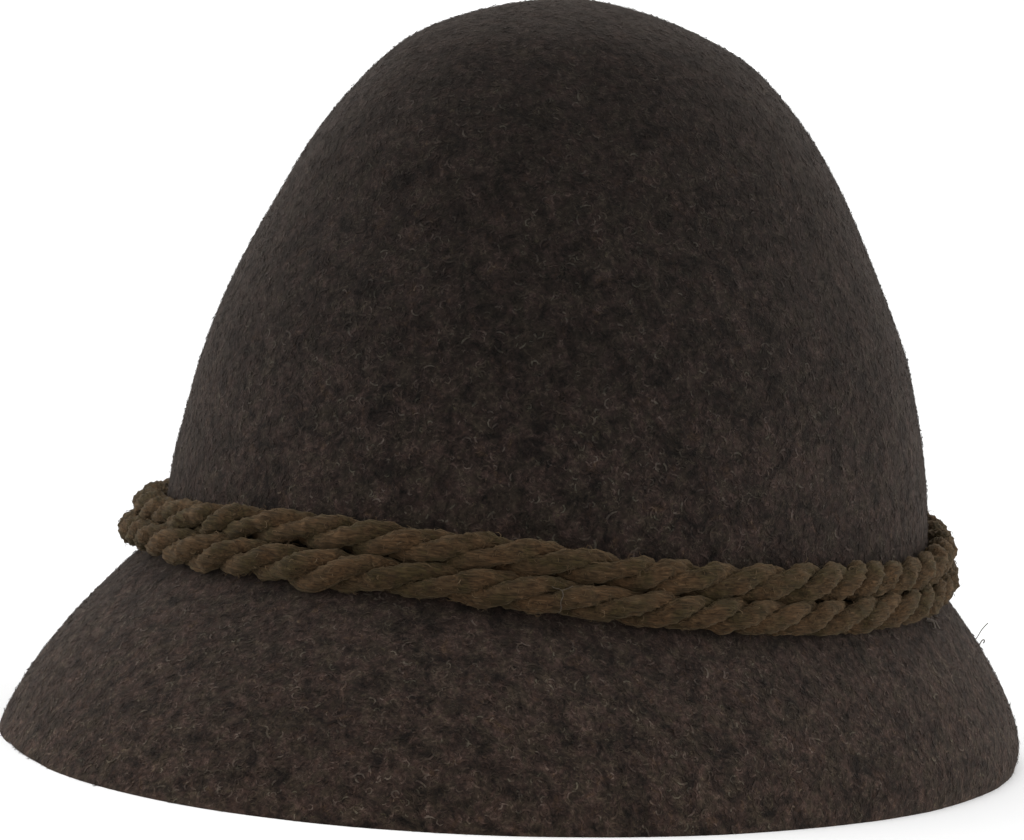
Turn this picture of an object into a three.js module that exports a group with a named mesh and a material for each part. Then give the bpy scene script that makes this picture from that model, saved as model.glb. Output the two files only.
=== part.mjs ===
// Tyrolean hat: one shell of blocked wool felt, with two twisted cords laid round the foot of the crown.
// Millimetres, +Z up. The brim's cut edge lies on z = 0, the front faces -Y and the wearer's left is +X.
// A turn is an angle about the vertical axis: 0 is the front and a quarter turn is the wearer's left.

import * as THREE from 'three';

const { degToRad, euclideanModulo, lerp, smoothstep } = THREE.MathUtils;

// Sizes of the felt
const HEAD_LENGTH = 197;        // head hollow, front to back, where crown and brim meet
const HEAD_WIDTH = 167;         // head hollow, side to side, at the same place
const FELT = 2.5;               // wall
const HAT_HEIGHT = 173;         // from the surface to the tip of the crown
const BREAK_HEIGHT = 45.7;      // from the surface to the break between crown and brim, at the front
const BREAK_SIDE_DROP = 5;      // the break hangs this much lower at the sides
const BREAK_BACK_RISE = 1.8;    // and lies this much higher at the back
const BRIM_FRONT = 49;          // how far the brim reaches out past the crown
const BRIM_BACK = 32.4;
const BRIM_SIDE = 26;
const BRIM_BELLY = 4.2;         // how far the slope of the brim bows outward at half way
const CROWN_LEAN = 7.4;         // the tip of the crown lies this much nearer to the front
const EDGE_CURL = 3.9;          // the edge turns in by this much where it is bent down most
const EDGE_CURL_TURN = degToRad(125);
const EDGE_CURL_POWER = 8;      // higher keeps the curl closer to the edge

// Sizes of the cords
const CORD_RADIUS = 4.0;        // over the three strands
const STRAND_SHARE = 0.53;      // a strand's radius as a share of the cord's, pressed against the others
const CORD_LEAD = 33.4;         // length of cord in which a strand goes once round
const CORD_GAP = 0.3;           // air between a cord and the felt that it lies on
const CORD_NEST = 0.1;          // how far the two cords sink into each other's grooves, in cord radii
const CORD_PINCH = 0.15;        // the cords are drawn in by this share of their thickness, at one place
const CORD_PINCH_TURN = degToRad(124);
const CORD_PINCH_SPREAD = degToRad(32);

// How far down the brim the lower cord lies, in cord radii, at every twelfth of a turn from the front.
const LOWER_SLIDES = [0.78, 0.62, 0.88, 0.68, 0.36, 0.30, 0.34, 0.36, 0.45, 0.62, 0.85, 1.08];

// Crown sections from the break to the tip: rise as a share of the crown's height, and the half length and
// half width of the section as shares of those at the break.
const CROWN_SECTIONS = [
  { rise: 0.00, long: 1.000, wide: 1.000 },
  { rise: 0.14, long: 0.969, wide: 0.990 },
  { rise: 0.29, long: 0.922, wide: 0.946 },
  { rise: 0.44, long: 0.862, wide: 0.882 },
  { rise: 0.59, long: 0.768, wide: 0.778 },
  { rise: 0.73, long: 0.671, wide: 0.671 },
  { rise: 0.85, long: 0.539, wide: 0.536 },
  { rise: 0.94, long: 0.361, wide: 0.357 },
  { rise: 1.00, long: 0.000, wide: 0.000 },
];

// Soft dents pressed into the crown: the turn and rise of the middle, depth as a share of the head's width,
// and half spreads as a turn and as a share of the crown's height.
const DENTS = [
  { turn: degToRad(39), rise: 0.80, depth: 0.012, turnSpread: degToRad(9), riseSpread: 0.14 },
  { turn: degToRad(-44), rise: 0.78, depth: 0.006, turnSpread: degToRad(14), riseSpread: 0.16 },
];

// How finely the faces are laid out
const FELT_TURNS = 60;
const CROWN_STEPS = 2;          // rings for each row of the table above
const BRIM_RINGS = 6;
const CORD_SIDES = 9;
const CORD_STEPS = 186;

const HALF_LENGTH = HEAD_LENGTH / 2 + FELT;
const HALF_WIDTH = HEAD_WIDTH / 2 + FELT;

// Puts the middle of the hat's outline over the origin, since the brim reaches further at the front.
const CENTRE_SHIFT = (BRIM_FRONT - BRIM_BACK) / 2;

function outward(turn) {
  return new THREE.Vector3(Math.sin(turn), -Math.cos(turn), 0);
}

function breakHeight(turn) {
  const side = Math.sin(turn) ** 2;
  const back = (1 - Math.cos(turn)) / 2;
  return BREAK_HEIGHT - BREAK_SIDE_DROP * side + BREAK_BACK_RISE * back;
}

function breakPoint(turn) {
  return new THREE.Vector3(HALF_WIDTH * Math.sin(turn), -HALF_LENGTH * Math.cos(turn), breakHeight(turn));
}

// Top side of the brim, from the cut edge (climb = 0) to the break (climb = 1).
function brimPoint(turn, climb) {
  const down = 1 - climb;
  const cos = Math.cos(turn);
  const reach = (BRIM_FRONT + BRIM_BACK) / 2;
  const edge = new THREE.Vector3(
    (HALF_WIDTH + BRIM_SIDE) * Math.sin(turn),
    -(HALF_LENGTH + reach) * cos - (BRIM_FRONT - BRIM_BACK) / 2 * cos * cos,
    0,
  );
  const curled = Math.cos((turn - EDGE_CURL_TURN) / 2) ** 4;
  const bow = BRIM_BELLY * 4 * down * (1 - down) - EDGE_CURL * curled * down ** EDGE_CURL_POWER;
  return breakPoint(turn).lerp(edge, down).addScaledVector(outward(turn), bow);
}

// The table's rows joined by a smooth curve that goes level over the tip. level 0 is the break, 1 the tip.
const last = CROWN_SECTIONS.length - 1;
const mirrored = CROWN_SECTIONS[last - 1];
const sectionCurve = new THREE.CatmullRomCurve3(
  [...CROWN_SECTIONS, { rise: mirrored.rise, long: -mirrored.long, wide: -mirrored.wide }]
    .map(({ rise, long, wide }) => new THREE.Vector3(long, wide, rise)),
  false, 'catmullrom', 0.5,
);

function crownSection(level) {
  const { x: long, y: wide, z: rise } = sectionCurve.getPoint(level * last / (last + 1));
  return { long, wide, rise };
}

function dentDepth(turn, rise) {
  let depth = 0;
  for (const dent of DENTS) {
    const away = Math.atan2(Math.sin(turn - dent.turn), Math.cos(turn - dent.turn)) / dent.turnSpread;
    const above = (rise - dent.rise) / dent.riseSpread;
    depth += dent.depth * HEAD_WIDTH * Math.exp(-away * away - above * above);
  }
  return depth;
}

function crownPoint(turn, level) {
  const { long, wide, rise } = crownSection(level);
  return new THREE.Vector3(
    HALF_WIDTH * wide * Math.sin(turn),
    -HALF_LENGTH * long * Math.cos(turn) - CROWN_LEAN * rise * rise,
    lerp(breakHeight(turn), HAT_HEIGHT, rise),
  ).addScaledVector(outward(turn), -dentDepth(turn, rise));
}

// Rings of the outer face, from the cut edge up to the last one under the tip.
function outerRings() {
  const rings = [];
  for (let i = 0; i < BRIM_RINGS; i += 1) {
    rings.push((turn) => brimPoint(turn, i / BRIM_RINGS));
  }
  const levels = last * CROWN_STEPS;
  for (let i = 0; i < levels; i += 1) {
    rings.push((turn) => crownPoint(turn, i / levels));
  }
  const turns = Array.from({ length: FELT_TURNS }, (_, i) => 2 * Math.PI * i / FELT_TURNS);
  return rings.map((ring) => turns.map(ring));
}

// The same rings one wall further in. The edge ring moves level, so that the cut edge lies flat on z = 0.
function innerRings(rings, tip) {
  const count = rings.length;
  return rings.map((ring, i) => ring.map((point, j) => {
    const before = ring[(j + FELT_TURNS - 1) % FELT_TURNS];
    const after = ring[(j + 1) % FELT_TURNS];
    const below = rings[Math.max(i - 1, 0)][j];
    const above = i + 1 < count ? rings[i + 1][j] : tip;
    const along = after.clone().sub(before);
    const normal = along.cross(above.clone().sub(below)).normalize();
    if (i > 0) {
      return point.clone().addScaledVector(normal, -FELT);
    }
    const level = new THREE.Vector3(normal.x, normal.y, 0);
    return point.clone().addScaledVector(level, -FELT / level.lengthSq());
  }));
}

// A closed body from named points and triangles.
function closedGeometry(points, triangles) {
  const geometry = new THREE.BufferGeometry();
  const coordinates = points.flatMap((point) => point.toArray());
  geometry.setAttribute('position', new THREE.Float32BufferAttribute(coordinates, 3));
  geometry.setIndex(triangles);
  geometry.computeVertexNormals();
  return geometry;
}

// The felt shell: outer face, inner face, and the flat cut edge that joins them.
function feltGeometry() {
  const outer = outerRings();
  const tip = crownPoint(0, 1);
  const inner = innerRings(outer, tip);
  const innerTip = tip.clone().setZ(tip.z - FELT);
  const points = [...outer.flat(), tip, ...inner.flat(), innerTip];
  const tipIndex = outer.length * FELT_TURNS;
  const innerStart = tipIndex + 1;
  const innerTipIndex = innerStart + tipIndex;
  const triangles = [];
  for (let j = 0; j < FELT_TURNS; j += 1) {
    const next = (j + 1) % FELT_TURNS;
    for (let i = 0; i + 1 < outer.length; i += 1) {
      const [a, b] = [i * FELT_TURNS + j, i * FELT_TURNS + next];
      const [c, d] = [a + FELT_TURNS, b + FELT_TURNS];
      triangles.push(a, b, d, a, d, c);
      triangles.push(innerStart + a, innerStart + d, innerStart + b);
      triangles.push(innerStart + a, innerStart + c, innerStart + d);
    }
    const top = (outer.length - 1) * FELT_TURNS;
    triangles.push(top + j, top + next, tipIndex);
    triangles.push(innerStart + top + next, innerStart + top + j, innerTipIndex);
    triangles.push(j, innerStart + j, innerStart + next, j, innerStart + next, next);
  }
  return closedGeometry(points, triangles);
}

// Direction out of the crown's or the brim's outer face at a turn and a share of its way up.
function outwardNormal(surface, turn, share) {
  const step = 0.001;
  const around = surface(turn + step, share).sub(surface(turn - step, share));
  const upward = surface(turn, share + step).sub(surface(turn, share - step));
  return around.cross(upward).normalize();
}

// Radius of a cord over its strands.
function cordRadius(turn) {
  const away = euclideanModulo(turn - CORD_PINCH_TURN + Math.PI, 2 * Math.PI) - Math.PI;
  return CORD_RADIUS * (1 - CORD_PINCH * Math.exp(-((away / CORD_PINCH_SPREAD) ** 2)));
}

// How far down the brim the lower cord lies: the rows of the table, joined smoothly round the hat.
function lowerSlide(turn) {
  const rows = LOWER_SLIDES.length;
  const place = euclideanModulo(rows * turn / (2 * Math.PI), rows);
  const row = Math.floor(place);
  const share = smoothstep(place - row, 0, 1);
  return cordRadius(turn) * lerp(LOWER_SLIDES[row], LOWER_SLIDES[(row + 1) % rows], share);
}

// Middle of the lower cord: it lies on the brim, in the corner under the crown.
function lowerMiddle(turn) {
  const climb = 1 - lowerSlide(turn) / brimPoint(turn, 0).distanceTo(breakPoint(turn));
  const clear = cordRadius(turn) + CORD_GAP;
  return brimPoint(turn, climb).addScaledVector(outwardNormal(brimPoint, turn, climb), clear);
}

// Middle of a cord held against the foot of the crown, at a height over the break.
function wallMiddle(turn, height) {
  const crownHeight = HAT_HEIGHT - breakHeight(turn);
  const level = height / crownHeight / CROWN_SECTIONS[1].rise / last;
  const clear = cordRadius(turn) + CORD_GAP;
  return crownPoint(turn, level).addScaledVector(outwardNormal(crownPoint, turn, level), clear);
}

// Middle of the upper cord: against the crown, and lying on the lower cord.
function upperMiddle(turn) {
  const lower = lowerMiddle(turn);
  const spacing = (2 - CORD_NEST) * cordRadius(turn) + CORD_GAP;
  const directlyAbove = wallMiddle(turn, lower.z + spacing - breakHeight(turn));
  const setBack = Math.hypot(lower.x - directlyAbove.x, lower.y - directlyAbove.y);
  const rise = Math.sqrt(spacing ** 2 - setBack ** 2);
  return wallMiddle(turn, lower.z + rise - breakHeight(turn));
}

// Distance from a cord's middle line to its surface, at an angle round it, as a share of the cord's radius:
// the outline of three round strands.
function cordReach(angle) {
  const strandTurn = 2 * Math.PI / 3;
  const offset = angle - strandTurn * Math.round(angle / strandTurn);
  const centre = 1 - STRAND_SHARE;
  const across = centre * Math.sin(offset);
  return centre * Math.cos(offset) + Math.sqrt(STRAND_SHARE ** 2 - across ** 2);
}

// A closed ring of three-strand twisted cord along a middle line. The faces follow the strands.
function cordGeometry(middleAt) {
  const route = Array.from({ length: CORD_STEPS }, (_, i) => middleAt(2 * Math.PI * i / CORD_STEPS));
  const line = new THREE.CatmullRomCurve3(route, true, 'catmullrom', 0.5);
  const twists = Math.round(line.getLength() / CORD_LEAD);
  const points = [];
  const triangles = [];
  for (let i = 0; i < CORD_STEPS; i += 1) {
    const along = line.getTangentAt(i / CORD_STEPS);
    const middle = line.getPointAt(i / CORD_STEPS);
    const side = new THREE.Vector3(along.y, -along.x, 0).normalize();
    const rise = side.clone().cross(along).normalize();
    const radius = cordRadius(Math.atan2(middle.x / HALF_WIDTH, -middle.y / HALF_LENGTH));
    const twist = 2 * Math.PI * twists * i / CORD_STEPS;
    for (let k = 0; k < CORD_SIDES; k += 1) {
      const reach = radius * cordReach(2 * Math.PI * k / CORD_SIDES);
      const angle = 2 * Math.PI * k / CORD_SIDES + twist;
      points.push(middle.clone()
        .addScaledVector(side, reach * Math.cos(angle))
        .addScaledVector(rise, reach * Math.sin(angle)));
      const [a, b] = [i * CORD_SIDES + k, i * CORD_SIDES + (k + 1) % CORD_SIDES];
      const step = ((i + 1) % CORD_STEPS) * CORD_SIDES;
      const [c, d] = [step + k, step + (k + 1) % CORD_SIDES];
      triangles.push(a, c, b, b, c, d);
    }
  }
  return closedGeometry(points, triangles);
}

const feltBrown = new THREE.MeshStandardMaterial({ color: '#2e2723', roughness: 0.98, metalness: 0 });
const cordBrown = new THREE.MeshStandardMaterial({ color: '#43351f', roughness: 0.95, metalness: 0 });

function piece(name, geometry, material) {
  const mesh = new THREE.Mesh(geometry, material);
  mesh.name = name;
  return mesh;
}

const hat = new THREE.Group();
hat.position.y = CENTRE_SHIFT;
hat.add(
  piece('hat_body', feltGeometry(), feltBrown),
  piece('cord_lower', cordGeometry(lowerMiddle), cordBrown),
  piece('cord_upper', cordGeometry(upperMiddle), cordBrown.clone()),
);

export default hat;
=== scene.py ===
# Tyrolean hat of blocked wool felt, with two twisted wool cords laid round the foot of the crown.
# Metres, +Z up. The brim's cut edge lies on z = 0, the front faces -Y and the wearer's left is +X.
# A turn is an angle about the vertical axis: 0 is the front and a quarter turn is the wearer's left.

import math

import bmesh
import bpy
import numpy as np
from mathutils import Matrix, Vector, noise


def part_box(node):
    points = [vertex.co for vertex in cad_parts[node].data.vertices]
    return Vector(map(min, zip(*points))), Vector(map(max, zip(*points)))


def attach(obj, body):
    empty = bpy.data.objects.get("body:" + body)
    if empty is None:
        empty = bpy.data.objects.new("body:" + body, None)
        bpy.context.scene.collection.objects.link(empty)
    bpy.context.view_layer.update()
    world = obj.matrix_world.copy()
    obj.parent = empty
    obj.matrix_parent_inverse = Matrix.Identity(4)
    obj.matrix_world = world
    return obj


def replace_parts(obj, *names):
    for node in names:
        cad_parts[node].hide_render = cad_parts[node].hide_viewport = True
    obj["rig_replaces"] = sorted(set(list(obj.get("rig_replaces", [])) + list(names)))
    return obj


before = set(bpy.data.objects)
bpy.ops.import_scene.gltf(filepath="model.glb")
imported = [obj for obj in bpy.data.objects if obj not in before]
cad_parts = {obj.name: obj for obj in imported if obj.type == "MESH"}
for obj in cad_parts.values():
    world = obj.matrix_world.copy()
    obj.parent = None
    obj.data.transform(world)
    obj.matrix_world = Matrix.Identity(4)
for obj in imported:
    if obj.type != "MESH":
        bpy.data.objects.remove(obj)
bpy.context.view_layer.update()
bpy.ops.object.select_all(action="DESELECT")


# Camera: a long lens a metre off, a little above the brim and turned towards the wearer's left,
# tipped sideways as the hat stands in the picture.
CAMERA_TURN = math.radians(30)
CAMERA_RISE = math.radians(4.96)
CAMERA_ROLL = math.radians(-4.6)
CAMERA_DISTANCE = 1.0
CAMERA_LENS = 149.53
AIM_SIDE = -0.01137
AIM_BACK = 0.0083
AIM_HEIGHT = 0.07345

camera_side = Vector((math.cos(CAMERA_TURN), math.sin(CAMERA_TURN), 0))
camera_back = Vector((
    math.sin(CAMERA_TURN) * math.cos(CAMERA_RISE),
    -math.cos(CAMERA_TURN) * math.cos(CAMERA_RISE),
    math.sin(CAMERA_RISE),
))
camera_up = camera_back.cross(camera_side)
tipped_side = camera_side * math.cos(CAMERA_ROLL) - camera_up * math.sin(CAMERA_ROLL)
tipped_up = camera_side * math.sin(CAMERA_ROLL) + camera_up * math.cos(CAMERA_ROLL)
aim = camera_side * AIM_SIDE + Vector((0, AIM_BACK, AIM_HEIGHT))
bpy.ops.object.camera_add()
camera = bpy.context.object
camera.name = "camera"
camera.data.lens = CAMERA_LENS
camera.matrix_world = (
    Matrix.Translation(aim + camera_back * CAMERA_DISTANCE)
    @ Matrix((tipped_side, tipped_up, camera_back)).transposed().to_4x4()
)
bpy.context.scene.camera = camera


# Felt: one cone of wool felt blocked over a rounded crown form and a sloping brim, cut off level
# at the edge and left raw, 2.5 mm thick. The cords hide the break between crown and brim.
HEAD_LENGTH = 0.197
HEAD_WIDTH = 0.167
FELT_WALL = 0.0025
HAT_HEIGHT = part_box("hat_body")[1].z
BREAK_HEIGHT = 0.0457
BREAK_SIDE_DROP = 0.005
BREAK_BACK_RISE = 0.0018
BRIM_FRONT = 0.049
BRIM_BACK = 0.0324
BRIM_SIDE = 0.026
BRIM_BELLY = 0.0042
CROWN_LEAN = 0.0074
EDGE_CURL = 0.0031
EDGE_CURL_TURN = math.radians(125)
EDGE_CURL_POWER = 8
EDGE_CURL_NARROWNESS = 4
FELT_TURNS = 96
CROWN_RINGS = 34
BRIM_RINGS = 12
BELOW_FLOOR = 0.08
CUT_EDGE_ROUNDING = 0.0005
CUT_TOLERANCE = 1e-6
CREASE_ANGLE = math.radians(40)
# Soft waves left by blocking and steaming
FELT_WAVES = [
    dict(size=0.034, height=0.00055),
    dict(size=0.011, height=0.00018),
]

# Crown sections from the break to the tip: rise as a share of the crown's height, and the half
# length and half width of the section as shares of those at the break.
CROWN_SECTIONS = [
    dict(rise=0.00, long=1.000, wide=1.000),
    dict(rise=0.14, long=0.969, wide=0.990),
    dict(rise=0.29, long=0.922, wide=0.946),
    dict(rise=0.44, long=0.862, wide=0.882),
    dict(rise=0.59, long=0.768, wide=0.778),
    dict(rise=0.73, long=0.671, wide=0.671),
    dict(rise=0.85, long=0.539, wide=0.536),
    dict(rise=0.94, long=0.361, wide=0.357),
    dict(rise=1.00, long=0.000, wide=0.000),
]
DENTS = [
    dict(turn=39, rise=0.80, depth=0.012, turn_spread=9, rise_spread=0.14),
    dict(turn=-44, rise=0.78, depth=0.006, turn_spread=14, rise_spread=0.16),
]

half_length = HEAD_LENGTH / 2 + FELT_WALL
half_width = HEAD_WIDTH / 2 + FELT_WALL
brim_reach = (BRIM_FRONT + BRIM_BACK) / 2
hat_centre = Vector((0, (BRIM_FRONT - BRIM_BACK) / 2, 0))


def outward(turn):
    return Vector((math.sin(turn), -math.cos(turn), 0))


def break_height(turn):
    back = (1 - math.cos(turn)) / 2
    return BREAK_HEIGHT - BREAK_SIDE_DROP * math.sin(turn) ** 2 + BREAK_BACK_RISE * back


def break_point(turn):
    return hat_centre + Vector(
        (half_width * math.sin(turn), -half_length * math.cos(turn), break_height(turn))
    )


def brim_point(turn, climb):
    """Top side of the brim, from the cut edge at climb 0 to the break at climb 1."""
    down = 1 - climb
    cosine = math.cos(turn)
    edge = hat_centre + Vector((
        (half_width + BRIM_SIDE) * math.sin(turn),
        -(half_length + brim_reach) * cosine - (BRIM_FRONT - BRIM_BACK) / 2 * cosine ** 2,
        0,
    ))
    curled = math.cos((turn - EDGE_CURL_TURN) / 2) ** EDGE_CURL_NARROWNESS
    bow = BRIM_BELLY * 4 * down * (1 - down) - EDGE_CURL * curled * down ** EDGE_CURL_POWER
    return break_point(turn) * (1 - down) + edge * down + outward(turn) * bow


def crown_section(level):
    """The rows joined by a smooth curve that goes level over the tip: 0 is the break, 1 the tip."""
    rows = [Vector((row["rise"], row["long"], row["wide"])) for row in CROWN_SECTIONS]
    mirrored = Vector((rows[-2].x, -rows[-2].y, -rows[-2].z))
    rows = [2 * rows[0] - rows[1], *rows, mirrored]
    place = level * (len(CROWN_SECTIONS) - 1)
    row = min(int(place), len(CROWN_SECTIONS) - 2)
    share = place - row
    before, start, end, after = rows[row:row + 4]
    leaving, arriving = (end - before) / 2, (after - start) / 2
    return (
        start * (2 * share ** 3 - 3 * share ** 2 + 1)
        + leaving * (share ** 3 - 2 * share ** 2 + share)
        + end * (3 * share ** 2 - 2 * share ** 3)
        + arriving * (share ** 3 - share ** 2)
    )


def dent_depth(turn, rise):
    depth = 0
    for dent in DENTS:
        away = math.remainder(turn - math.radians(dent["turn"]), 2 * math.pi)
        away /= math.radians(dent["turn_spread"])
        above = (rise - dent["rise"]) / dent["rise_spread"]
        depth += dent["depth"] * HEAD_WIDTH * math.exp(-away ** 2 - above ** 2)
    return depth


def crown_point(turn, level):
    rise, long, wide = crown_section(level)
    start = break_height(turn)
    return hat_centre - outward(turn) * dent_depth(turn, rise) + Vector((
        half_width * wide * math.sin(turn),
        -half_length * long * math.cos(turn) - CROWN_LEAN * rise ** 2,
        start + (HAT_HEIGHT - start) * rise,
    ))


def place_ring(piece, ring_point):
    """Moves the selected ring to its place, each point at the turn that it was made at."""
    mesh = bmesh.from_edit_mesh(piece.data)
    turn = mesh.verts.layers.float["turn"]
    for vertex in mesh.verts:
        if vertex.select:
            vertex.co = ring_point(vertex[turn])
    bmesh.update_edit_mesh(piece.data)


def apply_modifiers(piece):
    bpy.context.view_layer.objects.active = piece
    for modifier in list(piece.modifiers):
        bpy.ops.object.modifier_apply(modifier=modifier.name)


def steady_order(piece):
    """Lists the faces in one fixed order, because each run extrudes them in another."""
    mesh = piece.data
    places = [vertex.co.copy() for vertex in mesh.vertices]
    faces = []
    for face in mesh.polygons:
        corners = list(face.vertices)
        first = corners.index(min(corners))
        faces.append(corners[first:] + corners[:first])
    mesh.clear_geometry()
    mesh.from_pydata(places, [], sorted(faces))
    mesh.update()


bpy.ops.mesh.primitive_circle_add(vertices=FELT_TURNS, radius=half_width, location=hat_centre)
felt = bpy.context.object
felt.name = "felt"
bpy.ops.object.transform_apply(location=True)
bpy.ops.object.mode_set(mode="EDIT")
bpy.ops.mesh.select_mode(type="EDGE")
bpy.ops.mesh.select_all(action="SELECT")
rim = bmesh.from_edit_mesh(felt.data)
turn_layer = rim.verts.layers.float.new("turn")
for vertex in rim.verts:
    vertex[turn_layer] = math.atan2(vertex.co.x, hat_centre.y - vertex.co.y)
bmesh.update_edit_mesh(felt.data)
place_ring(felt, lambda turn: brim_point(turn, -BELOW_FLOOR))
for ring in range(BRIM_RINGS):
    bpy.ops.mesh.extrude_edges_move()
    place_ring(felt, lambda turn: brim_point(turn, ring / BRIM_RINGS))
for ring in range(CROWN_RINGS):
    bpy.ops.mesh.extrude_edges_move()
    place_ring(felt, lambda turn: crown_point(turn, ring / CROWN_RINGS))
bpy.ops.mesh.extrude_edges_move()
place_ring(felt, lambda turn: crown_point(0, 1))
bpy.ops.mesh.merge(type="CENTER")
bpy.ops.mesh.select_all(action="SELECT")
bpy.ops.mesh.normals_make_consistent(inside=False)
bpy.ops.object.mode_set(mode="OBJECT")
steady_order(felt)
refined = felt.modifiers.new("refined", "SUBSURF")
refined.levels = refined.render_levels = 1
apply_modifiers(felt)


def push_out(piece, waves):
    """Moves each point along its normal by smooth noise, of each wave's size and height."""
    mesh = piece.data
    directions = [vertex.normal.copy() for vertex in mesh.vertices]
    places = [vertex.co.copy() for vertex in mesh.vertices]
    moved = []
    for place, direction in zip(places, directions):
        swell = sum(noise.noise(place / wave["size"]) * wave["height"] for wave in waves)
        moved.extend(place + direction * swell)
    mesh.vertices.foreach_set("co", moved)
    mesh.update()


push_out(felt, FELT_WAVES)

# The outer face alone is kept as the ground that the loose fibres grow from.
outer_face = felt.copy()
outer_face.data = felt.data.copy()
outer_face.name = "outer_face"
bpy.context.collection.objects.link(outer_face)

wall = felt.modifiers.new("wall", "SOLIDIFY")
wall.thickness = FELT_WALL
wall.offset = -1
wall.use_even_offset = True
apply_modifiers(felt)
bpy.ops.object.select_all(action="DESELECT")
felt.select_set(True)
bpy.context.view_layer.objects.active = felt
bpy.ops.object.mode_set(mode="EDIT")
bpy.ops.mesh.select_all(action="SELECT")
bpy.ops.mesh.bisect(plane_co=(0, 0, 0), plane_no=(0, 0, 1), clear_inner=True)
bpy.ops.mesh.bridge_edge_loops()
cut = bmesh.from_edit_mesh(felt.data)
cut.faces.ensure_lookup_table()
for face in cut.faces:
    face.select_set(max(abs(vertex.co.z) for vertex in face.verts) < CUT_TOLERANCE)
bmesh.update_edit_mesh(felt.data)
bpy.ops.mesh.select_mode(type="FACE")
bpy.ops.mesh.region_to_loop()
bpy.ops.mesh.bevel(offset=CUT_EDGE_ROUNDING, segments=2)
bpy.ops.object.mode_set(mode="OBJECT")
for vertex in felt.data.vertices:
    vertex.co.z = max(vertex.co.z, 0)
bpy.ops.object.shade_smooth_by_angle(angle=CREASE_ANGLE)


def add_node(material, kind, inputs=None, **settings):
    """Adds a shader node. An input is a value, or a socket that is linked to it."""
    tree = material.node_tree
    made = tree.nodes.new(kind)
    for name, value in settings.items():
        setattr(made, name, value)
    for name, value in (inputs or {}).items():
        if isinstance(value, bpy.types.NodeSocket):
            tree.links.new(value, made.inputs[name])
        else:
            made.inputs[name].default_value = value
    return made


WOOL_SPECULAR = 0.11
WOOL_SHEEN_ROUGHNESS = 0.55
MILLIMETRES_IN_A_METRE = 1000


def new_material(name, roughness, sheen, sheen_tint):
    """A matt woollen finish: what is the same all over is set on the shader itself."""
    material = bpy.data.materials.new(name)
    material.use_nodes = True
    shader = material.node_tree.nodes["Principled BSDF"]
    shader.inputs["Roughness"].default_value = roughness
    shader.inputs["Specular IOR Level"].default_value = WOOL_SPECULAR
    shader.inputs["Sheen Weight"].default_value = sheen
    shader.inputs["Sheen Roughness"].default_value = WOOL_SHEEN_ROUGHNESS
    shader.inputs["Sheen Tint"].default_value = sheen_tint
    return material, shader


def millimetres(material, offset=(0, 0, 0)):
    """Object coordinates counted in millimetres, so that a noise's scale is one over its size."""
    place = add_node(material, "ShaderNodeTexCoord")
    return add_node(
        material, "ShaderNodeMapping",
        {"Vector": place.outputs["Object"], "Location": offset,
         "Scale": [MILLIMETRES_IN_A_METRE] * 3},
    ).outputs["Vector"]


def colour_ramp(material, value, stops):
    """Turns a value into colours. Each stop is a place from 0 to 1 and a colour."""
    made = add_node(material, "ShaderNodeValToRGB", {"Fac": value})
    ramp = made.color_ramp
    while len(ramp.elements) < len(stops):
        ramp.elements.new(0.5)
    for element, (place, colour) in zip(ramp.elements, stops):
        element.position = place
        element.color = (*colour, 1)
    return made.outputs["Color"]


def blend(material, kind, share, under, over):
    made = add_node(material, "ShaderNodeMix", data_type="RGBA", blend_type=kind)
    links = material.node_tree.links
    for socket, value in ((made.inputs[0], share), (made.inputs[6], under), (made.inputs[7], over)):
        if isinstance(value, bpy.types.NodeSocket):
            links.new(value, socket)
        else:
            socket.default_value = value
    return made.outputs[2]


def maths(material, kind, first, second=0.0, third=0.0):
    made = add_node(material, "ShaderNodeMath", operation=kind)
    for socket, value in zip(made.inputs, (first, second, third)):
        if isinstance(value, bpy.types.NodeSocket):
            material.node_tree.links.new(value, socket)
        else:
            socket.default_value = value
    return made.outputs["Value"]


# Felt finish: dark wools blended before felting, so that the ground is cloudy, with a heather of
# mauve, olive and rust in it, and pale fibres that curl through it in hooks and loops.
FELT_GROUND = [
    (0.30, (0.0039, 0.0027, 0.0022)),
    (0.45, (0.0061, 0.0043, 0.0035)),
    (0.58, (0.0088, 0.0061, 0.0050)),
    (0.74, (0.0144, 0.0101, 0.0082)),
]
HEATHER_TINTS = [
    (0.36, (0.92, 0.98, 0.87)),
    (0.45, (0.98, 1.00, 0.93)),
    (0.52, (1.03, 0.98, 0.98)),
    (0.60, (1.07, 0.96, 0.99)),
    (0.68, (1.14, 1.02, 0.85)),
]
CLOUD_SIZE = 5.2
CLOUD_DARK = 0.20
CLOUD_PALE = 2.28
HEATHER_SIZE = 4.6
# The brim grows paler towards its cut edge: partly a paler nap, partly painted light that makes up
# for the floor's shade near the edge.
PALER_BRIM_UP_TO = 0.095
EDGE_PALENESS = 1.98
EDGE_WARMTH = (1.00, 0.94, 0.87, 1)
# Painted shade darkens the felt towards the tip of the crown, where the lamps and the room light the
# top.
TIP_SHADE_FROM = 0.085
TIP_SHADE_UP_TO = 0.165
PAINTED_TIP_SHADE = 0.66
FELT_ROUGHNESS = 0.95
FELT_SHEEN = 0.06
FELT_SHEEN_TINT = (0.9, 0.70, 0.58, 1)
GROUND_SIZE = 1.1
RELIEF_SIZE = 0.45
FIBRE_REACH = 1.3
FIBRE_SHOW = 0.5
FIBRE_RELIEF = 0.8
FELT_RELIEF_STRENGTH = 0.55
FELT_RELIEF_DEPTH = 0.00025
FIBRE_LAYERS = [
    dict(offset=(3, 17, 5), size=1.9, width=0.036, colour=(0.024, 0.018, 0.015)),
    dict(offset=(41, 7, 23), size=1.4, width=0.042, colour=(0.019, 0.0135, 0.0115)),
    dict(offset=(11, 53, 31), size=2.4, width=0.030, colour=(0.022, 0.0175, 0.0115)),
]


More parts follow.
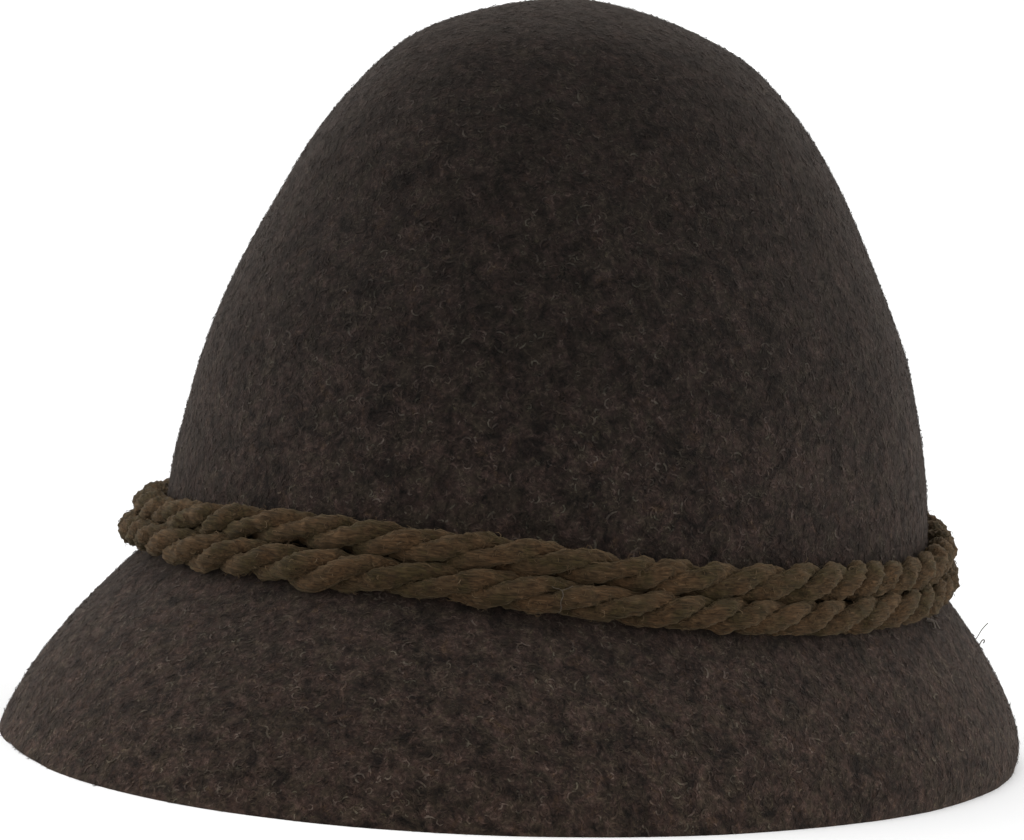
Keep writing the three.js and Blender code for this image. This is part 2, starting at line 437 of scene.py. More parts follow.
def heathered_with_painted_light(material, colour):
    """Wool shaded by clouds and heather, paler on the brim (paler nap and painted light), painted
    shade at the tip.
    """
    clouds = add_node(
        material, "ShaderNodeTexNoise",
        {"Vector": millimetres(material, (7, 3, 1)), "Scale": 1 / CLOUD_SIZE, "Detail": 3.0,
         "Roughness": 0.84, "Distortion": 0.5},
    ).outputs["Fac"]
    shade = add_node(
        material, "ShaderNodeMapRange",
        {"Value": clouds, "From Min": 0.33, "From Max": 0.67, "To Min": CLOUD_DARK,
         "To Max": CLOUD_PALE},
    ).outputs["Result"]
    blendings = add_node(
        material, "ShaderNodeTexNoise",
        {"Vector": millimetres(material, (29, 13, 8)), "Scale": 1 / HEATHER_SIZE, "Detail": 2.5,
         "Roughness": 0.75, "Distortion": 0.6},
    ).outputs["Fac"]
    place = add_node(material, "ShaderNodeTexCoord")
    split = add_node(material, "ShaderNodeSeparateXYZ", {"Vector": place.outputs["Object"]})
    # Partly painted light: the colour grows paler towards the brim's cut edge, against the floor's
    # shade there.
    paler_brim_and_painted_light = add_node(
        material, "ShaderNodeMapRange",
        {"Value": split.outputs["Z"], "From Min": 0.0, "From Max": PALER_BRIM_UP_TO,
         "To Min": EDGE_PALENESS, "To Max": 1.0},
    ).outputs["Result"]
    # Painted shade: the colour grows darker towards the tip of the crown.
    painted_tip_shade = add_node(
        material, "ShaderNodeMapRange",
        {"Value": split.outputs["Z"], "From Min": TIP_SHADE_FROM, "From Max": TIP_SHADE_UP_TO,
         "To Min": 1.0, "To Max": PAINTED_TIP_SHADE},
    ).outputs["Result"]
    strength = maths(material, "MULTIPLY", shade, maths(material, "MULTIPLY", paler_brim_and_painted_light, painted_tip_shade))
    heather = colour_ramp(material, blendings, HEATHER_TINTS)
    tinted = blend(material, "MULTIPLY", 1.0, colour, heather)
    tinted = blend(
        material, "MULTIPLY", maths(material, "SUBTRACT", paler_brim_and_painted_light, 1.0), tinted, EDGE_WARMTH,
    )
    return add_node(
        material, "ShaderNodeVectorMath", {0: tinted, "Scale": strength}, operation="SCALE",
    ).outputs["Vector"]


felt_finish, felt_shader = new_material(
    "wool_felt", FELT_ROUGHNESS, FELT_SHEEN, FELT_SHEEN_TINT
)


def felt_noise(size, offset=(0, 0, 0), detail=2.0, distortion=0.0):
    return add_node(
        felt_finish, "ShaderNodeTexNoise",
        {"Vector": millimetres(felt_finish, offset), "Scale": 1 / size, "Detail": detail,
         "Distortion": distortion},
    ).outputs["Fac"]


felt_colour = colour_ramp(felt_finish, felt_noise(GROUND_SIZE, distortion=0.6), FELT_GROUND)
felt_relief = felt_noise(RELIEF_SIZE, (5, 5, 5))
for layer in FIBRE_LAYERS:
    winding = felt_noise(layer["size"], layer["offset"], 0.0, 1.2)
    from_line = maths(felt_finish, "ABSOLUTE", maths(felt_finish, "SUBTRACT", winding, 0.5))
    line = add_node(
        felt_finish, "ShaderNodeMapRange",
        {"Value": from_line, "From Min": layer["width"], "From Max": 0.3 * layer["width"]},
        interpolation_type="SMOOTHSTEP",
    ).outputs["Result"]
    lengths = add_node(
        felt_finish, "ShaderNodeMapRange",
        {"Value": felt_noise(FIBRE_REACH, layer["offset"][::-1], 1.0), "From Min": 0.45,
         "From Max": 0.62},
        interpolation_type="SMOOTHSTEP",
    ).outputs["Result"]
    showing = maths(felt_finish, "MULTIPLY", line, lengths)
    felt_colour = blend(
        felt_finish, "MIX", maths(felt_finish, "MULTIPLY", showing, FIBRE_SHOW), felt_colour,
        (*layer["colour"], 1),
    )
    felt_relief = maths(felt_finish, "MULTIPLY_ADD", showing, FIBRE_RELIEF, felt_relief)
felt_colour = heathered_with_painted_light(felt_finish, felt_colour)
felt_bump = add_node(
    felt_finish, "ShaderNodeBump",
    {"Height": felt_relief, "Strength": FELT_RELIEF_STRENGTH, "Distance": FELT_RELIEF_DEPTH},
)
felt_finish.node_tree.links.new(felt_colour, felt_shader.inputs["Base Color"])
felt_finish.node_tree.links.new(felt_bump.outputs["Normal"], felt_shader.inputs["Normal"])
felt.data.materials.clear()
felt.data.materials.append(felt_finish)
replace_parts(felt, "hat_body")
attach(felt, "root")


# Nap: loose wool fibres on the outer face of the felt, curled into hooks, most of them lying flat
# and some standing off the surface. They are the same wool as the felt, from dark to pale.
NAP_KINDS = 14
NAP_LENGTH = 0.0020
NAP_WIDTH = 0.00038
NAP_LIFT = 0.00022
NAP_TIP = math.radians(6)
NAP_STATIONS = 4
FIBRE_ROOT_LIFT = 0.00006
FIBRE_TAPER = 0.6
FIBRE_BEND_LEAST = 35
FIBRE_BEND_RANGE = 190
FIBRE_LENGTH_LEAST = 0.55
FIBRE_LENGTH_RANGE = 0.75
FIBRE_SIZE_LEAST = 0.6
FIBRE_SIZE_RANGE = 0.8
FIBRE_SPECKLE_SCALE = 1.2
LOOSE_FIBRE_ROUGHNESS = 0.9
FLOOR_CLEARANCE = 0.0001
NAP_DENSITY = 700000
NAP_ZONES = [
    dict(name="nap_brim", low=0.0006, high=0.043, density=1.0, seed=3),
    dict(name="nap_lower_crown", low=0.043, high=0.104, density=0.9, seed=5),
    dict(name="nap_upper_crown", low=0.104, high=0.2, density=0.9, seed=8),
]
NAP_TONES = [
    (0.00, (0.0052, 0.0035, 0.0028)),
    (0.45, (0.0072, 0.0049, 0.0039)),
    (0.70, (0.0098, 0.0068, 0.0054)),
    (0.88, (0.0140, 0.0104, 0.0086)),
    (1.00, (0.0212, 0.0181, 0.0152)),
]


def fibre_kind(name, length, width, bend, lift, parent):
    """One flat fibre along +X, curling sideways by bend and rising by lift to its tip."""
    shape = bmesh.new()
    middle, heading = Vector((0, 0, 0)), -bend / 2
    rows = []
    for station in range(NAP_STATIONS):
        share = station / (NAP_STATIONS - 1)
        half = width / 2 * (1 - FIBRE_TAPER * share ** 3)
        across = Vector((-math.sin(heading), math.cos(heading), 0)) * half
        height = Vector((0, 0, FIBRE_ROOT_LIFT + lift * share ** 1.5))
        rows.append([shape.verts.new(middle + height + side) for side in (across, -across)])
        middle = middle + Vector((math.cos(heading), math.sin(heading), 0)) * (
            length / (NAP_STATIONS - 1)
        )
        heading += bend / (NAP_STATIONS - 1)
    for near, far in zip(rows, rows[1:]):
        shape.faces.new((near[1], far[1], far[0], near[0]))
    mesh = bpy.data.meshes.new(name)
    shape.to_mesh(mesh)
    shape.free()
    fibre = bpy.data.objects.new(name, mesh)
    parent.objects.link(fibre)
    return fibre


def fibre_box(name, length, width, lift):
    """A box of differently curled fibres to scatter, kept off the scene."""
    box = bpy.data.collections.new(name)
    for kind in range(NAP_KINDS):
        share = kind / (NAP_KINDS - 1)
        bend = math.radians(FIBRE_BEND_LEAST + FIBRE_BEND_RANGE * share) * (1 if kind % 2 else -1)
        longer = FIBRE_LENGTH_LEAST + FIBRE_LENGTH_RANGE * ((kind * 5) % NAP_KINDS) / NAP_KINDS
        raised = lift * ((kind * 3) % NAP_KINDS) / NAP_KINDS
        fibre_kind(f"{name}_{kind}", length * longer, width, bend, raised, box)
    return box


def scatter(piece, kinds, density, seed, low, high, material, tip):
    """Replaces a piece's mesh by fibres grown on it between two heights."""
    group = bpy.data.node_groups.new(f"grow_{piece.name}", "GeometryNodeTree")
    group.interface.new_socket("Geometry", in_out="INPUT", socket_type="NodeSocketGeometry")
    group.interface.new_socket("Geometry", in_out="OUTPUT", socket_type="NodeSocketGeometry")
    add, link = group.nodes.new, group.links.new
    entry, leave = add("NodeGroupInput"), add("NodeGroupOutput")
    position, split = add("GeometryNodeInputPosition"), add("ShaderNodeSeparateXYZ")
    link(position.outputs[0], split.inputs[0])
    above, below = add("ShaderNodeMath"), add("ShaderNodeMath")
    above.operation, below.operation = "GREATER_THAN", "LESS_THAN"
    above.inputs[1].default_value, below.inputs[1].default_value = low, high
    between = add("ShaderNodeMath")
    between.operation = "MULTIPLY"
    for test in (above, below):
        link(split.outputs["Z"], test.inputs[0])
    link(above.outputs[0], between.inputs[0])
    link(below.outputs[0], between.inputs[1])
    points = add("GeometryNodeDistributePointsOnFaces")
    points.inputs["Density"].default_value = density
    points.inputs["Seed"].default_value = seed
    link(entry.outputs[0], points.inputs["Mesh"])
    link(between.outputs[0], points.inputs["Selection"])
    fibres = add("GeometryNodeCollectionInfo")
    fibres.inputs["Collection"].default_value = kinds
    fibres.inputs["Separate Children"].default_value = True
    fibres.inputs["Reset Children"].default_value = True
    spin = add("FunctionNodeRandomValue")
    spin.data_type = "FLOAT_VECTOR"
    spin.inputs["Min"].default_value = (-tip, -tip, 0)
    spin.inputs["Max"].default_value = (tip, tip, 2 * math.pi)
    spin.inputs["Seed"].default_value = seed + 1
    angles, turned = add("FunctionNodeEulerToRotation"), add("FunctionNodeRotateRotation")
    turned.rotation_space = "LOCAL"
    link(spin.outputs[0], angles.inputs[0])
    link(points.outputs["Rotation"], turned.inputs["Rotation"])
    link(angles.outputs[0], turned.inputs["Rotate By"])
    size, tone = add("FunctionNodeRandomValue"), add("FunctionNodeRandomValue")
    most = FIBRE_SIZE_LEAST + FIBRE_SIZE_RANGE
    for value, low_end, high_end, step in ((size, FIBRE_SIZE_LEAST, most, 2), (tone, 0, 1, 3)):
        value.data_type = "FLOAT"
        value.inputs[2].default_value = low_end
        value.inputs[3].default_value = high_end
        value.inputs["Seed"].default_value = seed + step
    planted = add("GeometryNodeInstanceOnPoints")
    planted.inputs["Pick Instance"].default_value = True
    link(points.outputs["Points"], planted.inputs["Points"])
    link(fibres.outputs[0], planted.inputs["Instance"])
    link(turned.outputs[0], planted.inputs["Rotation"])
    link(size.outputs[1], planted.inputs["Scale"])
    toned = add("GeometryNodeStoreNamedAttribute")
    toned.domain, toned.data_type = "INSTANCE", "FLOAT"
    toned.inputs["Name"].default_value = "tone"
    link(planted.outputs[0], toned.inputs["Geometry"])
    link(tone.outputs[1], toned.inputs["Value"])
    real, painted = add("GeometryNodeRealizeInstances"), add("GeometryNodeSetMaterial")
    painted.inputs["Material"].default_value = material
    link(toned.outputs[0], real.inputs[0])
    link(real.outputs[0], painted.inputs["Geometry"])
    link(painted.outputs[0], leave.inputs[0])
    piece.modifiers.new("grown", "NODES").node_group = group
    apply_modifiers(piece)
    for vertex in piece.data.vertices:
        vertex.co.z = max(vertex.co.z, FLOOR_CLEARANCE)


def fibre_material(name, tones, sheen, sheen_tint, felt_blend_and_painted_light):
    """Matt wool coloured by each fibre's own tone, and where asked by the felt's blend and painted
    light.
    """
    material, shader = new_material(name, LOOSE_FIBRE_ROUGHNESS, sheen, sheen_tint)
    tone = add_node(material, "ShaderNodeAttribute", attribute_name="tone")
    speckle = add_node(
        material, "ShaderNodeTexNoise",
        {"Vector": millimetres(material), "Scale": FIBRE_SPECKLE_SCALE},
    )
    shifted = maths(
        material, "MULTIPLY_ADD", maths(material, "SUBTRACT", speckle.outputs["Fac"], 0.5), 0.5,
        tone.outputs["Fac"],
    )
    colour = colour_ramp(material, shifted, tones)
    # The felt's blend brings its painted brim light and painted tip shade onto the fibres.
    if felt_blend_and_painted_light:
        colour = heathered_with_painted_light(material, colour)
    material.node_tree.links.new(colour, shader.inputs["Base Color"])
    return material


nap_finish = fibre_material("wool_nap", NAP_TONES, FELT_SHEEN, FELT_SHEEN_TINT, True)
nap_kinds = fibre_box("nap_fibre", NAP_LENGTH, NAP_WIDTH, NAP_LIFT)
for zone in NAP_ZONES:
    nap = outer_face.copy()
    nap.data = outer_face.data.copy()
    nap.name = zone["name"]
    bpy.context.collection.objects.link(nap)
    scatter(
        nap, nap_kinds, NAP_DENSITY * zone["density"], zone["seed"], zone["low"], zone["high"],
        nap_finish, NAP_TIP,
    )
    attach(nap, "root")


# Cords: two lengths of soft wool cord laid round the foot of the crown, one on the other. Each is
# three strands twisted together, and each strand a bundle of yarns laid the other way.
CORD_RADIUS = 0.0041
STRAND_RADIUS = 0.0020
CORD_LEAD = 0.0333
YARN_LEAD = 0.0375
YARNS = 9
YARN_RELIEF = 0.00017
CORD_GAP = 0.0001
CORD_PRESS = 0.0006
CORD_NEST = 0.24
CORD_STEPS = 740
MIDDLE_SAMPLES = 720
STRAND_FULLNESS = 0.09
# How unevenly the strands lie: each is a share or a distance, and how often it comes round the hat
LAY_WOBBLE = dict(angle=0.12, times=7)
STRAND_WANDER = dict(distance=0.0003, times=9)
CORD_SWAY = dict(distance=0.0003, times=5)
STRAND_UNEVENNESS = dict(share=0.2, times=16)
YARN_UNEVENNESS = dict(share=0.8, times=2)
CORD_WAVES = [
    dict(size=0.0042, height=0.00050),
    dict(size=0.0018, height=0.00046),
    dict(size=0.0009, height=0.00026),
]
# Both cords are drawn in at one place behind the wearer's left side.
CORD_PINCH = 0.15
CORD_PINCH_TURN = math.radians(124)
CORD_PINCH_SPREAD = math.radians(32)
# How far down the brim the lower cord lies, in cord radii, at every twelfth of a turn
LOWER_SLIDES = [0.78, 0.62, 0.88, 0.68, 0.36, 0.30, 0.34, 0.36, 0.45, 0.62, 0.85, 1.08]
# Grooves are the turns, in degrees, at which a groove between two strands faces straight outward:
# the lay is uneven on the side that is handled, and regular behind. A swell is a place where a cord
# is slack and thicker, or tight and thinner.
CORDS = [
    dict(name="lower_cord", node="cord_lower", seed=21, grooves=[
        -25, -17, -11, -4, 2, 9, 17, 25, 32, 40, 47, 52, 57, 62, 68, 73, 80, 86,
    ], swells=[
        dict(turn=2, spread=5, share=0.16, drop=0.0009),
        dict(turn=-38, spread=14, share=-0.13, drop=-0.0008),
        dict(turn=13, spread=6, share=-0.08, drop=-0.0002),
        dict(turn=57, spread=10, share=-0.05, drop=-0.0002),
        dict(turn=-21, spread=7, share=0.08, drop=0.0003),
    ]),
    dict(name="upper_cord", node="cord_upper", seed=34, grooves=[
        -30, -19, -14, -6, 2, 9, 15, 22, 30, 37, 44, 48, 55, 61, 68, 74, 79, 83, 88,
    ], swells=[
        dict(turn=-1, spread=8, share=-0.10, drop=-0.0002),
        dict(turn=-40, spread=16, share=-0.09, drop=0.0005),
        dict(turn=-82, spread=24, share=0.0, drop=0.0012),
        dict(turn=42, spread=7, share=-0.08, drop=0.0002),
        dict(turn=72, spread=14, share=0.11, drop=-0.0005),
        dict(turn=-22, spread=8, share=0.11, drop=0.0),
    ]),
]


def outward_normal(surface, turn, share):
    step = 0.001
    around = surface(turn + step, share) - surface(turn - step, share)
    upward = surface(turn, share + step) - surface(turn, share - step)
    return around.cross(upward).normalized()


def cord_radius(turn):
    away = math.remainder(turn - CORD_PINCH_TURN, 2 * math.pi) / CORD_PINCH_SPREAD
    return CORD_RADIUS * (1 - CORD_PINCH * math.exp(-away ** 2))


def lower_slide(turn):
    """The rows of the table, joined smoothly round the hat."""
    rows = len(LOWER_SLIDES)
    place = turn / (2 * math.pi) % 1 * rows
    row = int(place)
    share = place - row
    share = share * share * (3 - 2 * share)
    start, end = LOWER_SLIDES[row % rows], LOWER_SLIDES[(row + 1) % rows]
    return cord_radius(turn) * (start + (end - start) * share)


def lower_middle(turn):
    """Middle line of the lower cord: on the brim, in the corner under the crown."""
    climb = 1 - lower_slide(turn) / (brim_point(turn, 0) - break_point(turn)).length
    return brim_point(turn, climb) + outward_normal(brim_point, turn, climb) * (
        cord_radius(turn) + CORD_GAP
    )


def wall_middle(turn, height):
    """Middle of a cord pressed against the foot of the crown, at a height over the break."""
    level = height / (HAT_HEIGHT - break_height(turn)) / CROWN_SECTIONS[1]["rise"]
    level /= len(CROWN_SECTIONS) - 1
    return crown_point(turn, level) + outward_normal(crown_point, turn, level) * (
        cord_radius(turn) - CORD_PRESS
    )


def upper_middle(turn):
    """Middle line of the upper cord: against the crown, and lying on the lower cord."""
    lower = lower_middle(turn)
    spacing = (2 - CORD_NEST) * cord_radius(turn)
    above = wall_middle(turn, lower.z + spacing - break_height(turn))
    set_back = math.hypot(lower.x - above.x, lower.y - above.y)
    rise = math.sqrt(spacing ** 2 - set_back ** 2)
    return wall_middle(turn, lower.z + rise - break_height(turn))


def ring_noise(share, waves, seed):
    """Smooth noise that closes on itself round the hat."""
    angle = 2 * math.pi * share
    return noise.noise(Vector((waves * math.cos(angle), waves * math.sin(angle), seed)))


def even_line(middle_at, steps):
    """Points at even distances along a closed middle line from the back, their turns, its length."""
    turns = [
        2 * math.pi * step / MIDDLE_SAMPLES - math.pi for step in range(MIDDLE_SAMPLES + 1)
    ]
    points = np.array([middle_at(turn) for turn in turns])
    travelled = np.concatenate([[0], np.cumsum(np.linalg.norm(np.diff(points, axis=0), axis=1))])
    wanted = np.linspace(0, travelled[-1], steps, endpoint=False)
    spread = [np.interp(wanted, travelled, points[:, axis]) for axis in range(3)]
    line = [Vector(place) for place in zip(*spread)]
    return line, np.interp(wanted, travelled, turns), travelled[-1]


def lay_angles(grooves, turns, length):
    """How far the strands have gone round at each station, with the grooves at their turns."""
    travelled = length * np.arange(len(turns)) / len(turns)
    places = np.interp(np.radians(grooves), turns, travelled)
    behind = (length - places[-1] + places[0]) / (CORD_LEAD / 3)
    strands = 3 * round((len(grooves) - 1 + behind) / 3)
    places = [places[-1] - length, *places, places[0] + length]
    passed = [len(grooves) - 1 - strands, *range(len(grooves)), strands]
    return 2 * math.pi / 3 * (np.interp(travelled, places, passed) - 0.5)


def swell_at(swells, turn, what):
    total = 0
    for swell in swells:
        away = math.remainder(turn - math.radians(swell["turn"]), 2 * math.pi)
        total += swell[what] * math.exp(-(away / math.radians(swell["spread"])) ** 2)
    return total


def yarn_outline(seed):
    """Section of a strand: a ring of yarns of slightly different thickness."""
    curve = bpy.data.curves.new("strand_section", "CURVE")
    outline = curve.splines.new("POLY")
    count = YARNS * 3
    outline.points.add(count - 1)
    for k in range(count):
        angle = 2 * math.pi * k / count
        uneven = YARN_UNEVENNESS["share"] * ring_noise(k / count, YARN_UNEVENNESS["times"], seed)
        reach = STRAND_RADIUS + YARN_RELIEF * (math.cos(YARNS * angle) + uneven)
        outline.points[k].co = (reach * math.cos(angle), reach * math.sin(angle), 0, 1)
    outline.use_cyclic_u = True
    section = bpy.data.objects.new("strand_section", curve)
    bpy.context.collection.objects.link(section)
    return section


def twisted_cord(name, middle_at, grooves, seed, swells):
    line, turns, length = even_line(middle_at, CORD_STEPS)
    lay = lay_angles(grooves, turns, length)
    yarn_turns = round(length / YARN_LEAD)
    section = yarn_outline(seed)
    strands = []
    for strand in range(3):
        curve = bpy.data.curves.new(f"{name}_strand_{strand}", "CURVE")
        curve.dimensions = "3D"
        curve.twist_mode = "Z_UP"
        curve.bevel_mode = "OBJECT"
        curve.bevel_object = section
        spline = curve.splines.new("POLY")
        spline.points.add(CORD_STEPS - 1)
        spline.use_cyclic_u = True
        for k, middle in enumerate(line):
            share = k / CORD_STEPS
            along = line[(k + 1) % CORD_STEPS] - line[k - 1]
            side = Vector((along.y, -along.x, 0)).normalized()
            rise = side.cross(along).normalized()
            angle = lay[k] + 2 * math.pi * strand / 3
            angle += LAY_WOBBLE["angle"] * ring_noise(share, LAY_WOBBLE["times"], seed + strand)
            fuller = swell_at(swells, turns[k], "share")
            thickness = cord_radius(turns[k]) / CORD_RADIUS * (1 + fuller)
            wander = ring_noise(share, STRAND_WANDER["times"], seed + 5 + strand)
            reach = CORD_RADIUS - STRAND_RADIUS + STRAND_WANDER["distance"] * wander
            sway = side * ring_noise(share, CORD_SWAY["times"], seed + 9)
            sway += rise * ring_noise(share, CORD_SWAY["times"], seed + 10)
            place = middle + (side * math.cos(angle) + rise * math.sin(angle)) * reach * thickness
            place += sway * CORD_SWAY["distance"] + side * CORD_RADIUS * fuller
            place -= rise * swell_at(swells, turns[k], "drop")
            spline.points[k].co = (*place, 1)
            spline.points[k].tilt = 2 * math.pi * yarn_turns * share
            bulge = STRAND_FULLNESS * math.cos(angle)
            uneven = ring_noise(share, STRAND_UNEVENNESS["times"], seed + 13 + strand)
            spline.points[k].radius = thickness * (
                1 + bulge + STRAND_UNEVENNESS["share"] * uneven
            )
        made = bpy.data.objects.new(curve.name, curve)
        bpy.context.collection.objects.link(made)
        strands.append(made)
    bpy.ops.object.select_all(action="DESELECT")
    for made in strands:
        made.select_set(True)
    bpy.context.view_layer.objects.active = strands[0]
    bpy.ops.object.convert(target="MESH")
    bpy.ops.object.join()
    cord = bpy.context.object
    cord.name = name
    bpy.data.objects.remove(section)
    push_out(cord, CORD_WAVES)
    bpy.ops.object.shade_smooth()
    return cord, length


CORD_COLOURS = [
    (0.28, (0.0066, 0.0037, 0.0017)),
    (0.43, (0.0215, 0.0121, 0.0057)),
    (0.57, (0.0410, 0.0238, 0.0115)),
    (0.72, (0.0680, 0.0420, 0.0220)),
]
CORD_TINTS = [
    (0.39, (0.68, 0.80, 0.63)),
    (0.50, (1.00, 1.03, 1.00)),
    (0.61, (1.27, 1.20, 1.12)),
]
CORD_FUZZ_TONES = [
    (0.0, (0.0180, 0.0103, 0.0048)),
    (0.5, (0.0355, 0.0208, 0.0100)),
    (0.8, (0.0540, 0.0338, 0.0172)),
    (1.0, (0.0820, 0.0570, 0.0320)),
]
CORD_ROUGHNESS = 0.92
CORD_SHEEN = 0.08
CORD_SHEEN_TINT = (0.9, 0.70, 0.42, 1)
CORD_REACH_IN_MILLIMETRES = 95.0
YARN_LINES = dict(size=2.6, offset=0.0, across=8.0, share=0.6)
COARSE_LINES = dict(size=6.0, offset=30.0, across=7.0, share=0.4)
DYE_SIZE = 7.0
CORD_RELIEF_STRENGTH = 0.7
CORD_RELIEF_DEPTH = 0.0006
cord_finish, cord_shader = new_material("wool_cord", CORD_ROUGHNESS, CORD_SHEEN, CORD_SHEEN_TINT)


def along_the_cord(offset, across):
    """Coordinates that run round the hat, so that a pattern is drawn out along the cords."""
    place = add_node(cord_finish, "ShaderNodeTexCoord")
    split = add_node(cord_finish, "ShaderNodeSeparateXYZ", {"Vector": place.outputs["Object"]})
    forward = maths(cord_finish, "SUBTRACT", hat_centre.y, split.outputs["Y"])
    turn = maths(cord_finish, "ARCTAN2", split.outputs["X"], forward)
    from_axis = maths(
        cord_finish, "SQRT",
        maths(cord_finish, "ADD",
              maths(cord_finish, "POWER", maths(cord_finish, "DIVIDE", split.outputs["X"],
                                                half_width / half_length), 2.0),
              maths(cord_finish, "POWER", forward, 2.0)),
    )
    return add_node(
        cord_finish, "ShaderNodeCombineXYZ",
        {"X": maths(cord_finish, "MULTIPLY_ADD", turn, CORD_REACH_IN_MILLIMETRES, offset),
         "Y": maths(cord_finish, "MULTIPLY", from_axis, MILLIMETRES_IN_A_METRE * across),
         "Z": maths(cord_finish, "MULTIPLY", split.outputs["Z"], MILLIMETRES_IN_A_METRE * across)},
    ).outputs["Vector"]


def cord_noise(lines):
    return add_node(
        cord_finish, "ShaderNodeTexNoise",
        {"Vector": along_the_cord(lines["offset"], lines["across"]), "Scale": 1 / lines["size"],
         "Detail": 2.0, "Distortion": 0.3},
    ).outputs["Fac"]


yarn_lines = cord_noise(YARN_LINES)
coarse_lines = cord_noise(COARSE_LINES)
mixed_lines = maths(
    cord_finish, "MULTIPLY_ADD", yarn_lines, YARN_LINES["share"],
    maths(cord_finish, "MULTIPLY", coarse_lines, COARSE_LINES["share"]),
)
cord_colour = colour_ramp(cord_finish, mixed_lines, CORD_COLOURS)
dyed = add_node(
    cord_finish, "ShaderNodeTexNoise",
    {"Vector": millimetres(cord_finish, (4, 8, 2)), "Scale": 1 / DYE_SIZE, "Detail": 3.0,
     "Roughness": 0.65},
)
cord_colour = blend(
    cord_finish, "MULTIPLY", 1.0, cord_colour,
    colour_ramp(cord_finish, dyed.outputs["Fac"], CORD_TINTS),
)
cord_bump = add_node(
    cord_finish, "ShaderNodeBump",
    {"Height": mixed_lines, "Strength": CORD_RELIEF_STRENGTH, "Distance": CORD_RELIEF_DEPTH},
)
cord_finish.node_tree.links.new(cord_colour, cord_shader.inputs["Base Color"])
cord_finish.node_tree.links.new(cord_bump.outputs["Normal"], cord_shader.inputs["Normal"])
fuzz_finish = fibre_material("cord_fuzz", CORD_FUZZ_TONES, CORD_SHEEN, CORD_SHEEN_TINT, False)
FUZZ_LENGTH = 0.0018
FUZZ_WIDTH = 0.00017
FUZZ_LIFT = 0.0007
FUZZ_TIP = math.radians(28)
FUZZ_DENSITY = 740000
fuzz_kinds = fibre_box("fuzz_fibre", FUZZ_LENGTH, FUZZ_WIDTH, FUZZ_LIFT)
for entry in CORDS:
    middle_at = lower_middle if entry["node"] == "cord_lower" else upper_middle
    cord, length = twisted_cord(
        entry["name"], middle_at, entry["grooves"], entry["seed"], entry["swells"]
    )
    cord.data.materials.clear()
    cord.data.materials.append(cord_finish)
    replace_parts(cord, entry["node"])
    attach(cord, "root")
    fuzz = cord.copy()
    fuzz.data = cord.data.copy()
    fuzz.name = f"{entry['name']}_fuzz"
    del fuzz["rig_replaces"]
    bpy.context.collection.objects.link(fuzz)
    scatter(fuzz, fuzz_kinds, FUZZ_DENSITY, entry["seed"], 0.0, 1.0, fuzz_finish, FUZZ_TIP)
    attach(fuzz, "root")
    print(f"{entry['name']} is {length:.3f} m long")
bpy.data.objects.remove(outer_face)


# Stray threads: bits of pale wool caught on the brim beside the cords and one on the lower cord.
# Each is laid through stations: a turn, how far up the brim or round the cord, and a lift off it.
THREADS = [
    dict(on="brim", radius=0.00034, stations=[
        (100.6, 0.895, 0.0004), (101.2, 0.880, 0.0009),
        (101.3, 0.862, 0.0008), (101.0, 0.845, 0.0004),
    ]),
    dict(on="brim", radius=0.00028, stations=[
        (101.9, 0.885, 0.0004), (102.3, 0.872, 0.0008),
        (102.2, 0.850, 0.0007), (102.6, 0.838, 0.0004),
    ]),
    dict(on="brim", radius=0.00012, stations=[
        (117.0, 0.690, 0.0003), (120.0, 0.684, 0.0010),
        (123.0, 0.684, 0.0026), (124.5, 0.680, 0.0044),
    ]),
    dict(on="brim", radius=0.00015, stations=[
        (120.5, 0.648, 0.0003), (122.0, 0.650, 0.0012),
        (123.0, 0.635, 0.0017), (124.0, 0.620, 0.0010),
    ]),
    dict(on="cord", radius=0.00007, stations=[
        (34.8, 0.42, 0.0003), (35.1, 0.22, 0.0006), (34.7, -0.10, 0.0005), (35.1, -0.45, 0.0005),
        (34.9, -0.80, 0.0002),
    ]),
    dict(on="cord", radius=0.00005, stations=[
        (33.5, 0.60, 0.0003), (33.9, 0.47, 0.0005), (34.5, 0.50, 0.0006), (34.8, 0.42, 0.0003),
    ]),
    dict(on="cord", radius=0.00005, stations=[
        (36.1, 0.78, 0.0003), (35.8, 0.62, 0.0006), (35.2, 0.52, 0.0006), (34.8, 0.42, 0.0003),
    ]),
]
THREAD_COLOUR = (0.058, 0.046, 0.036, 1)


def thread_place(ground, turn, share, lift):
    turn = math.radians(turn)
    if ground == "brim":
        return brim_point(turn, share) + outward_normal(brim_point, turn, share) * lift
    step = 0.01
    along = lower_middle(turn + step) - lower_middle(turn - step)
    side = Vector((along.y, -along.x, 0)).normalized()
    rise = side.cross(along).normalized()
    return lower_middle(turn) + (side * math.cos(share) + rise * math.sin(share)) * (
        cord_radius(turn) + lift
    )


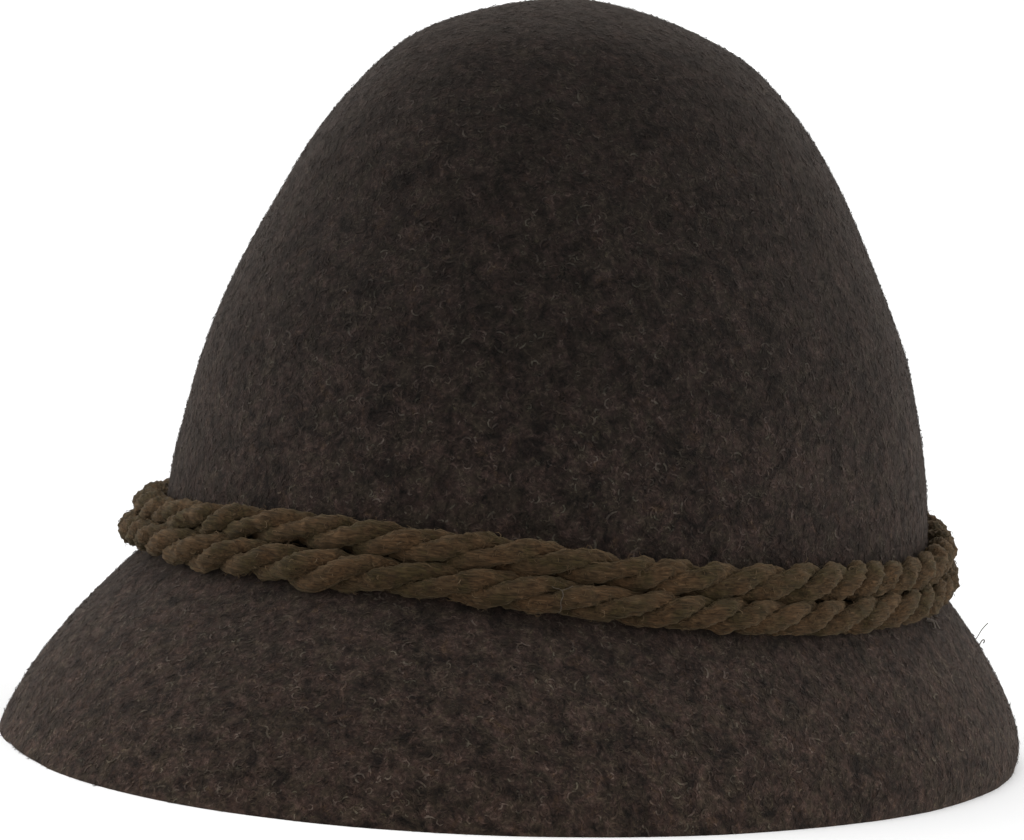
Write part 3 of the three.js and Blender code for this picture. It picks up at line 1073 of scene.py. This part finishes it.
thread_curves = []
for entry in THREADS:
    curve = bpy.data.curves.new("thread", "CURVE")
    curve.dimensions = "3D"
    curve.bevel_depth = entry["radius"]
    curve.bevel_resolution = 2
    curve.resolution_u = 6
    curve.use_fill_caps = True
    spline = curve.splines.new("NURBS")
    spline.points.add(len(entry["stations"]) - 1)
    spline.use_endpoint_u = True
    spline.order_u = 3
    for point, station in zip(spline.points, entry["stations"]):
        point.co = (*thread_place(entry["on"], *station), 1)
    made = bpy.data.objects.new("thread", curve)
    bpy.context.collection.objects.link(made)
    thread_curves.append(made)
bpy.ops.object.select_all(action="DESELECT")
for made in thread_curves:
    made.select_set(True)
bpy.context.view_layer.objects.active = thread_curves[0]
bpy.ops.object.convert(target="MESH")
bpy.ops.object.join()
threads = bpy.context.object
threads.name = "stray_threads"
bpy.ops.object.shade_smooth()
thread_finish, thread_shader = new_material("pale_wool", 0.9, 0.1, (1, 1, 1, 1))
thread_shader.inputs["Base Color"].default_value = THREAD_COLOUR
threads.data.materials.append(thread_finish)
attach(threads, "root")


# Floor and light: a wide white table in a white room, with a large soft lamp on each side, so
# that the hat's edges are a little lighter than its middle.
FLOOR_RADIUS = 40
FLOOR_WHITE = (0.9, 0.9, 0.9, 1)
ROOM_LIGHT = 1.26
LAMP_AIM = Vector((0, 0, 0.08))
LAMPS = [
    dict(name="lamp_left", turn=-62, height=0.20, distance=1.1, size=0.9, power=6.3),
    dict(name="lamp_right", turn=118, height=0.20, distance=1.1, size=0.9, power=4.8),
]
bpy.ops.mesh.primitive_circle_add(vertices=64, radius=FLOOR_RADIUS, fill_type="NGON")
floor = bpy.context.object
floor.name = "floor"
floor_finish = bpy.data.materials.new("white_table")
floor_finish.use_nodes = True
floor_shader = floor_finish.node_tree.nodes["Principled BSDF"]
floor_shader.inputs["Base Color"].default_value = FLOOR_WHITE
floor_shader.inputs["Roughness"].default_value = 0.9
floor_shader.inputs["Specular IOR Level"].default_value = 0.0
floor.data.materials.append(floor_finish)

world = bpy.data.worlds.new("white_room")
bpy.context.scene.world = world
world.use_nodes = True
world.node_tree.nodes["Background"].inputs["Color"].default_value = (1, 1, 1, 1)
world.node_tree.nodes["Background"].inputs["Strength"].default_value = ROOM_LIGHT
for lamp in LAMPS:
    away = outward(math.radians(lamp["turn"])) * lamp["distance"]
    spot = away + Vector((0, 0, lamp["height"]))
    light = bpy.data.lights.new(lamp["name"], "AREA")
    light.size = lamp["size"]
    light.energy = lamp["power"]
    holder = bpy.data.objects.new(lamp["name"], light)
    holder.location = spot
    holder.rotation_euler = (LAMP_AIM - spot).to_track_quat("-Z", "Y").to_euler()
    bpy.context.collection.objects.link(holder)
bpy.context.scene.view_settings.view_transform = "Standard"
